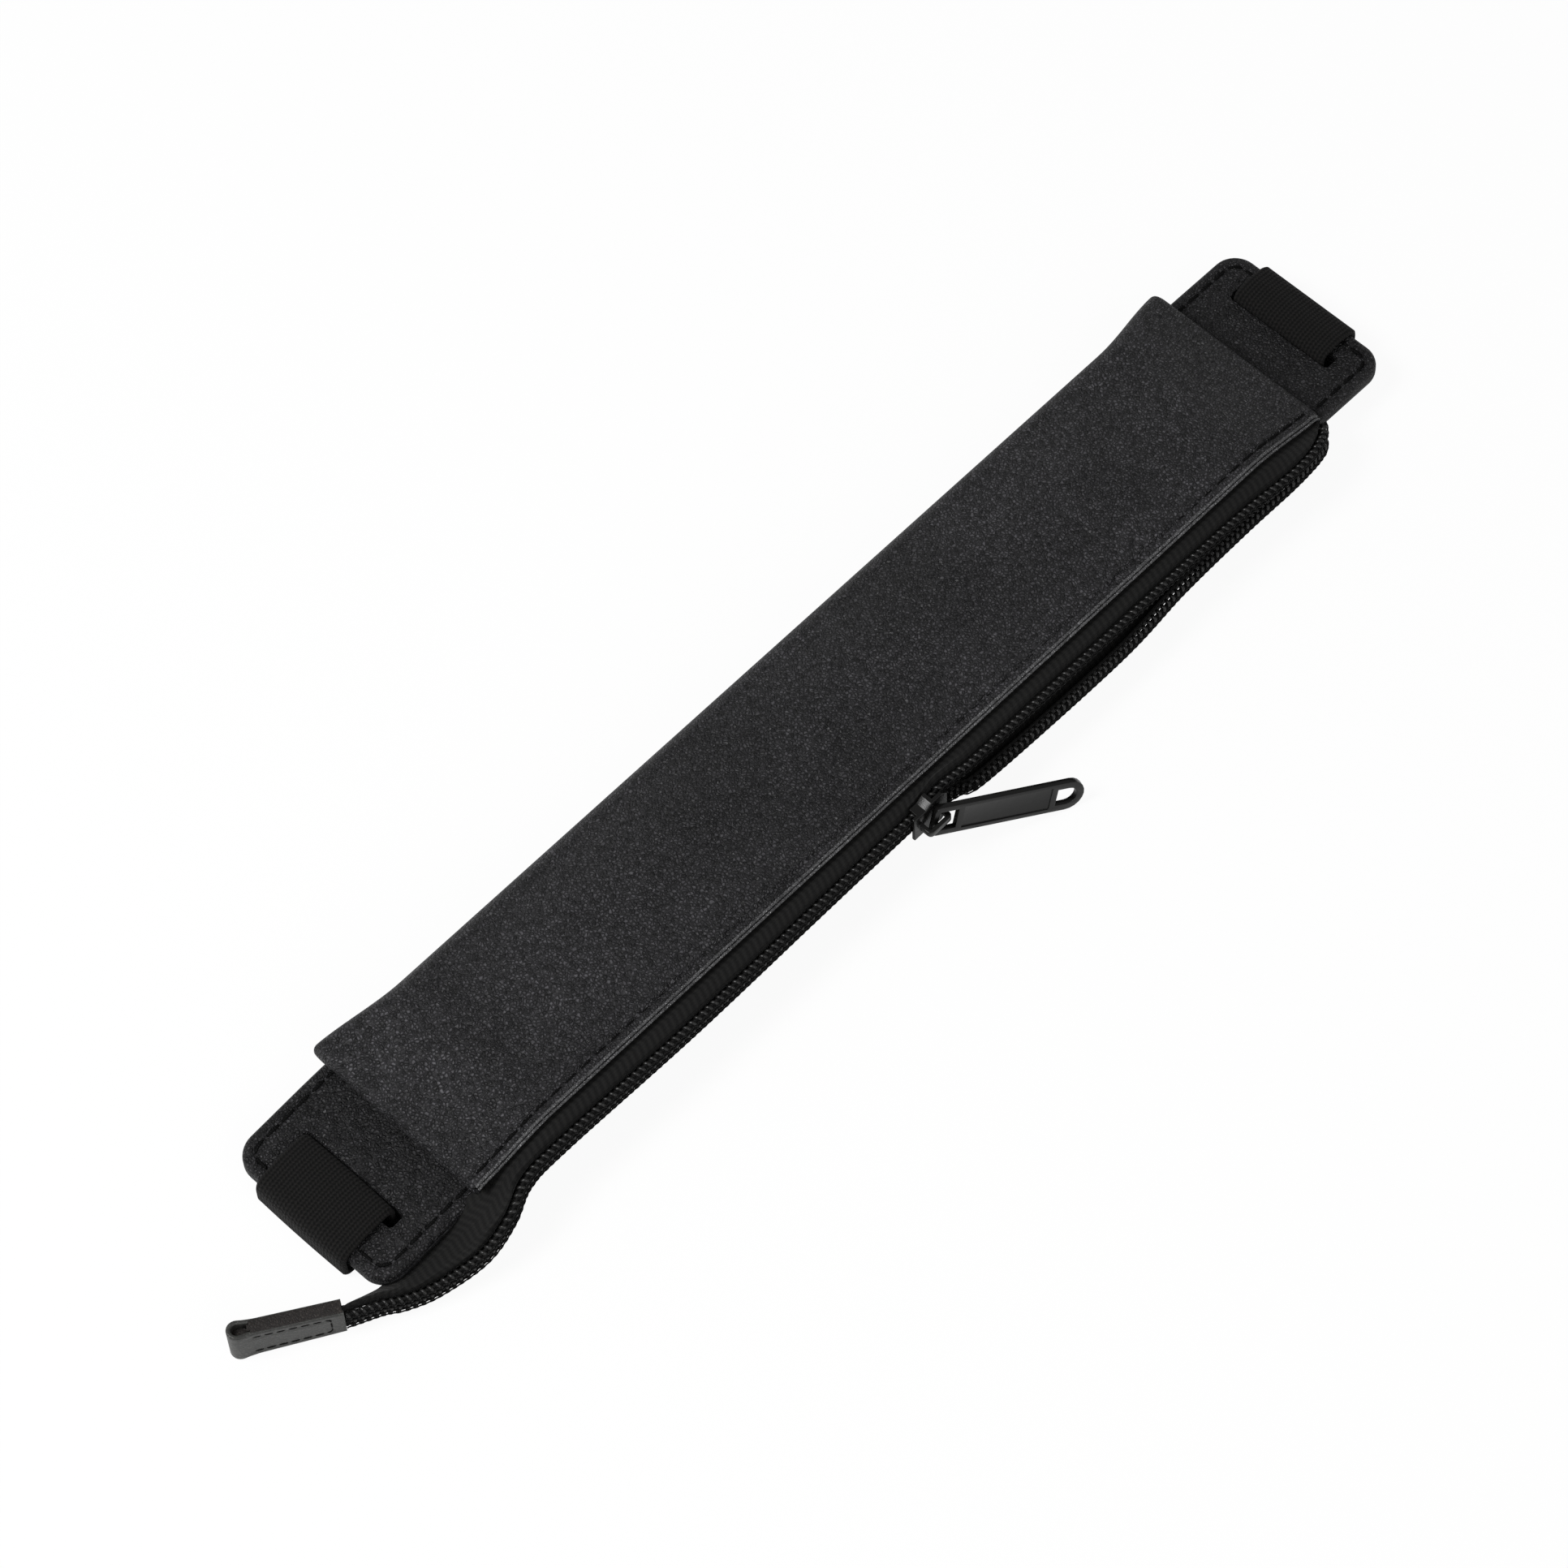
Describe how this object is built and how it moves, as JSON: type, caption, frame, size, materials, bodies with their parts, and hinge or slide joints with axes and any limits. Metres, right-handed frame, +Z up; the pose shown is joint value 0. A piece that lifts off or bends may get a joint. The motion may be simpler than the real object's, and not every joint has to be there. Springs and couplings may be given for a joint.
{
  "type": "elastic pen holder",
  "caption": "Slim zipped leather pen pouch on a stiff leather plate, with an elastic strap behind it that stretches round a notebook cover; the zip slider travels and its pull swings.",
  "frame": {"origin": "middle of the strap's outer face, on the table, under the plate's middle", "axes": "+X along the pouch away from the zip's tail, +Z up out of the pouch's front panel, -Y the side with the zip"},
  "size_m": [0.2391, 0.05, 0.0154],
  "materials": {
    "pebbled_leather": "black pebbled leather, low sheen",
    "plate_back_leather": "smooth black leather",
    "binding_leather": "thin turned-over leather edge, satin",
    "tab_leather": "smooth black leather, glossy edges",
    "board": "grey stiffening board, hidden",
    "elastic": "black ribbed elastic webbing",
    "zip_tape": "black woven tape",
    "zip_coil": "black nylon coil",
    "painted_metal": "satin black coating"
  },
  "bodies": {
    "case": {"plate_front_leather": "pebbled_leather", "plate_board": "board", "plate_back_leather": "plate_back_leather", "strap_loop_left": "elastic", "strap_loop_right": "elastic", "pouch_shell": "pebbled_leather", "hem_binding": "binding_leather", "zip_tape_upper": "zip_tape", "zip_tape_lower": "zip_tape", "zip_coil_upper": "zip_coil", "zip_coil_lower": "zip_coil", "tail_tab": "tab_leather"},
    "strap": {"strap_run": "elastic"},
    "slider": {"slider_body": "painted_metal"},
    "pull": {"pull_tab": "painted_metal"}
  },
  "joints": [
    {"name": "strap_stretch", "type": "slide", "parent": "case", "child": "strap", "axis": [0, 0, -1], "range_m": [0, 0.012], "stiffness_N_per_m": 60},
    {"name": "slider_travel", "type": "slide", "parent": "case", "child": "slider", "axis": [1, 0, 0], "range_m": [-0.0735, 0.0765], "deforming": ["zip_coil_upper", "zip_coil_lower", "zip_tape_upper", "zip_tape_lower"]},
    {"name": "pull_swing", "type": "hinge", "parent": "slider", "child": "pull", "pos_m": [-0.00065, -0.02226, 0.0095], "axis": [-0.3462, -0.0805, -0.9347], "range_deg": [0, 150]}
  ]
}
